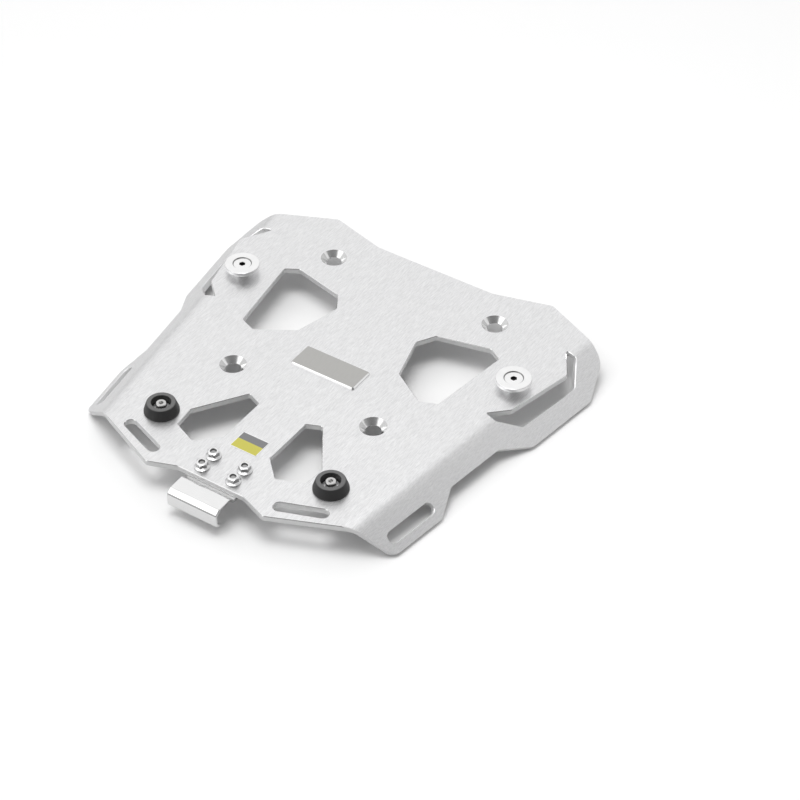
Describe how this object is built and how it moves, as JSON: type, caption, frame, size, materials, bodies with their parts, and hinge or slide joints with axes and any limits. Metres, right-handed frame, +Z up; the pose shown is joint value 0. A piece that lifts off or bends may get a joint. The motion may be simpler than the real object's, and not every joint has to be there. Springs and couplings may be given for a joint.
{
  "type": "motorcycle luggage rack",
  "caption": "Folded aluminium top case rack with flared side lips, windows, hand holds, two case studs, rubber bumpers and a latch hook.",
  "frame": {"origin": "on the ground, in the middle of the rack's length and width", "axes": "+X across the rack, +Y from the latch hook towards the wide end, +Z up out of the face that carries the case"},
  "size_m": [0.2942, 0.2844, 0.029],
  "materials": {
    "sheet_aluminium": "fine brushed",
    "stud_aluminium": "bright turned",
    "hook_steel": "polished",
    "stainless_screw": "bright",
    "zinc_steel": "bright zinc",
    "rubber": "matt",
    "name_plate": "satin",
    "label": "printed film"
  },
  "bodies": {
    "root": {"bumper_nut_left": "zinc_steel", "bumper_nut_right": "zinc_steel", "bumper_screw_left": "stainless_screw", "bumper_screw_right": "stainless_screw", "bumper_washer_left": "zinc_steel", "bumper_washer_right": "zinc_steel", "case_stud_left": "stud_aluminium", "case_stud_right": "stud_aluminium", "hook_bolt_1": "zinc_steel", "hook_bolt_2": "zinc_steel", "hook_bolt_3": "zinc_steel", "hook_bolt_4": "zinc_steel", "hook_nut_1": "zinc_steel", "hook_nut_2": "zinc_steel", "hook_nut_3": "zinc_steel", "hook_nut_4": "zinc_steel", "hook_shim": "zinc_steel", "label": "label", "latch_hook": "hook_steel", "name_plate": "name_plate", "rack_plate": "sheet_aluminium", "rubber_bumper_left": "rubber", "rubber_bumper_right": "rubber", "stud_nut_left": "zinc_steel", "stud_nut_right": "zinc_steel", "stud_screw_left": "stainless_screw", "stud_screw_right": "stainless_screw"}
  },
  "joints": []
}
